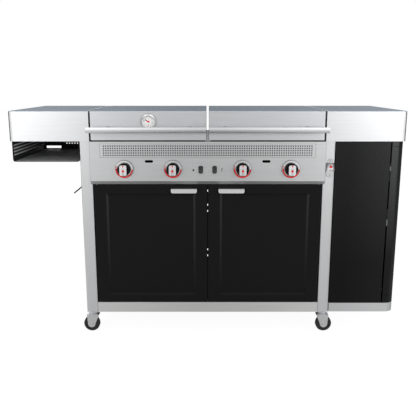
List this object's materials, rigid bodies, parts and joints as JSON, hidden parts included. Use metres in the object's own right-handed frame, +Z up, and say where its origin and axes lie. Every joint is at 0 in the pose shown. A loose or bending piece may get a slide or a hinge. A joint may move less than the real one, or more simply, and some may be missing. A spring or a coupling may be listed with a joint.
{
  "type": "modular outdoor kitchen",
  "caption": "Rolling outdoor kitchen: gas grill with flat hinged lids, burner knobs and side shelves over a cabinet with doors, tool bin, and a closed gas-bottle cabinet on casters.",
  "frame": {"origin": "centre of the footprint box, on the floor", "axes": "+X to the viewer's right along the front, -Y towards the person at the knobs, +Z up"},
  "size_m": [1.708, 0.6424, 1.013],
  "materials": {
    "steel": "brushed stainless sheet",
    "handle_steel": "satin tube",
    "black_sheet": "fine satin powder coat",
    "cast_iron": "matt enamel",
    "brass": "turned",
    "aluminium": "drawn tube",
    "bezel_chrome": "polished",
    "clear_glass": "clear",
    "needle_red": "satin",
    "dark_lens": "smoked",
    "switch_black": "moulded",
    "knob_black": "moulded, satin",
    "caster_zinc": "zinc plated",
    "tyre": "moulded rubber on a plastic hub"
  },
  "bodies": {
    "cart": {"front_left_leg": "steel", "front_right_leg": "steel", "rear_left_leg": "steel", "rear_right_leg": "steel", "front_bottom_rail": "steel", "bottom_shelf": "black_sheet", "left_side_panel": "black_sheet", "right_side_panel": "black_sheet", "back_panel": "black_sheet", "control_panel": "steel", "vent_grille": "steel", "indicator_lenses": "dark_lens", "knob_bezels": "bezel_chrome", "switch_housings": "switch_black", "gas_valves": "brass", "gas_manifold": "aluminium", "burners": "steel", "heat_plates": "steel", "cooking_grates": "cast_iron", "firebox": "steel", "hinge_pins": "steel", "left_shelf": "steel", "right_shelf": "steel", "tool_bin": "black_sheet", "towel_bar": "steel", "bottle_opener": "steel", "cabinet_front_panel": "black_sheet", "cabinet_base": "steel", "cabinet_back_panel": "black_sheet"},
    "left_lid": {"left_lid": "steel", "left_lid_handle": "handle_steel", "thermometer_case": "bezel_chrome", "thermometer_lens": "clear_glass"},
    "right_lid": {"right_lid": "steel", "right_lid_handle": "handle_steel"},
    "thermometer_needle": {"thermometer_needle": "needle_red"},
    "left_door": {"left_door": "black_sheet", "left_door_handle": "handle_steel"},
    "right_door": {"right_door": "black_sheet", "right_door_handle": "handle_steel"},
    "cabinet_side_door": {"cabinet_side_door": "black_sheet"},
    "ignition_rocker": {"ignition_rocker": "switch_black"},
    "light_rocker": {"light_rocker": "switch_black"},
    "grease_tray": {"grease_tray": "steel"},
    "valve_stem_1": {"valve_stem_1": "steel"},
    "knob_1": {"knob_1": "knob_black"},
    "valve_stem_2": {"valve_stem_2": "steel"},
    "knob_2": {"knob_2": "knob_black"},
    "valve_stem_3": {"valve_stem_3": "steel"},
    "knob_3": {"knob_3": "knob_black"},
    "valve_stem_4": {"valve_stem_4": "steel"},
    "knob_4": {"knob_4": "knob_black"},
    "front_left_caster": {"front_left_caster_fork": "caster_zinc"},
    "front_left_wheel": {"front_left_caster_wheel": "tyre"},
    "front_right_caster": {"front_right_caster_fork": "caster_zinc"},
    "front_right_wheel": {"front_right_caster_wheel": "tyre"},
    "rear_left_caster": {"rear_left_caster_fork": "caster_zinc"},
    "rear_left_wheel": {"rear_left_caster_wheel": "tyre"},
    "rear_right_caster": {"rear_right_caster_fork": "caster_zinc"},
    "rear_right_wheel": {"rear_right_caster_wheel": "tyre"}
  },
  "joints": [
    {"name": "left_lid_hinge", "type": "hinge", "parent": "cart", "child": "left_lid", "pos_m": [-0.2545, 0.308, 0.8965], "axis": [-1, 0, 0], "range_deg": [0, 90]},
    {"name": "right_lid_hinge", "type": "hinge", "parent": "cart", "child": "right_lid", "pos_m": [0.2545, 0.308, 0.8965], "axis": [-1, 0, 0], "range_deg": [0, 90]},
    {"name": "needle_turn", "type": "hinge", "parent": "left_lid", "child": "thermometer_needle", "pos_m": [-0.2533, -0.26325, 0.968], "axis": [0, 1, 0], "range_deg": [-75, 195], "stiffness_Nm_per_rad": 0.002},
    {"name": "left_door_hinge", "type": "hinge", "parent": "cart", "child": "left_door", "pos_m": [-0.4893, -0.24375, 0.42], "axis": [0, 0, -1], "range_deg": [0, 105]},
    {"name": "right_door_hinge", "type": "hinge", "parent": "cart", "child": "right_door", "pos_m": [0.4893, -0.24375, 0.42], "axis": [0, 0, 1], "range_deg": [0, 105]},
    {"name": "side_door_hinge", "type": "hinge", "parent": "cart", "child": "cabinet_side_door", "pos_m": [0.795, -0.25675, 0.515], "axis": [0, 0, -1], "range_deg": [0, 100]},
    {"name": "knob_1_push", "type": "slide", "parent": "cart", "child": "valve_stem_1", "axis": [0, 1, 0], "range_m": [0, 0.004], "stiffness_N_per_m": 800},
    {"name": "knob_1_turn", "type": "hinge", "parent": "valve_stem_1", "child": "knob_1", "pos_m": [-0.362, -0.2735, 0.7635], "axis": [0, -1, 0], "range_deg": [0, 270]},
    {"name": "knob_2_push", "type": "slide", "parent": "cart", "child": "valve_stem_2", "axis": [0, 1, 0], "range_m": [0, 0.004], "stiffness_N_per_m": 800},
    {"name": "knob_2_turn", "type": "hinge", "parent": "valve_stem_2", "child": "knob_2", "pos_m": [-0.151, -0.2735, 0.7635], "axis": [0, -1, 0], "range_deg": [0, 270]},
    {"name": "knob_3_push", "type": "slide", "parent": "cart", "child": "valve_stem_3", "axis": [0, 1, 0], "range_m": [0, 0.004], "stiffness_N_per_m": 800},
    {"name": "knob_3_turn", "type": "hinge", "parent": "valve_stem_3", "child": "knob_3", "pos_m": [0.151, -0.2735, 0.7635], "axis": [0, -1, 0], "range_deg": [0, 270]},
    {"name": "knob_4_push", "type": "slide", "parent": "cart", "child": "valve_stem_4", "axis": [0, 1, 0], "range_m": [0, 0.004], "stiffness_N_per_m": 800},
    {"name": "knob_4_turn", "type": "hinge", "parent": "valve_stem_4", "child": "knob_4", "pos_m": [0.362, -0.2735, 0.7635], "axis": [0, -1, 0], "range_deg": [0, 270]},
    {"name": "ignition_tip", "type": "hinge", "parent": "cart", "child": "ignition_rocker", "pos_m": [-0.03, -0.25775, 0.761], "axis": [-1, 0, 0], "range_deg": [0, 14], "stiffness_Nm_per_rad": 0.05},
    {"name": "light_tip", "type": "hinge", "parent": "cart", "child": "light_rocker", "pos_m": [0.03, -0.25775, 0.761], "axis": [-1, 0, 0], "range_deg": [0, 14]},
    {"name": "grease_tray_slide", "type": "slide", "parent": "cart", "child": "grease_tray", "axis": [0, 1, 0], "range_m": [0, 0.35]},
    {"name": "front_left_swivel", "type": "hinge", "parent": "cart", "child": "front_left_caster", "pos_m": [-0.5298, -0.22875, 0.09], "axis": [0, 0, 1], "continuous": true},
    {"name": "front_left_roll", "type": "hinge", "parent": "front_left_caster", "child": "front_left_wheel", "pos_m": [-0.5383, -0.22875, 0.0365], "axis": [0, 1, 0], "continuous": true},
    {"name": "front_right_swivel", "type": "hinge", "parent": "cart", "child": "front_right_caster", "pos_m": [0.5298, -0.22875, 0.09], "axis": [0, 0, 1], "continuous": true},
    {"name": "front_right_roll", "type": "hinge", "parent": "front_right_caster", "child": "front_right_wheel", "pos_m": [0.5383, -0.22875, 0.0365], "axis": [0, 1, 0], "continuous": true},
    {"name": "rear_left_swivel", "type": "hinge", "parent": "cart", "child": "rear_left_caster", "pos_m": [-0.5298, 0.27625, 0.09], "axis": [0, 0, 1], "continuous": true},
    {"name": "rear_left_roll", "type": "hinge", "parent": "rear_left_caster", "child": "rear_left_wheel", "pos_m": [-0.5383, 0.27625, 0.0365], "axis": [0, 1, 0], "continuous": true},
    {"name": "rear_right_swivel", "type": "hinge", "parent": "cart", "child": "rear_right_caster", "pos_m": [0.5298, 0.27625, 0.09], "axis": [0, 0, 1], "continuous": true},
    {"name": "rear_right_roll", "type": "hinge", "parent": "rear_right_caster", "child": "rear_right_wheel", "pos_m": [0.5383, 0.27625, 0.0365], "axis": [0, 1, 0], "continuous": true}
  ]
}
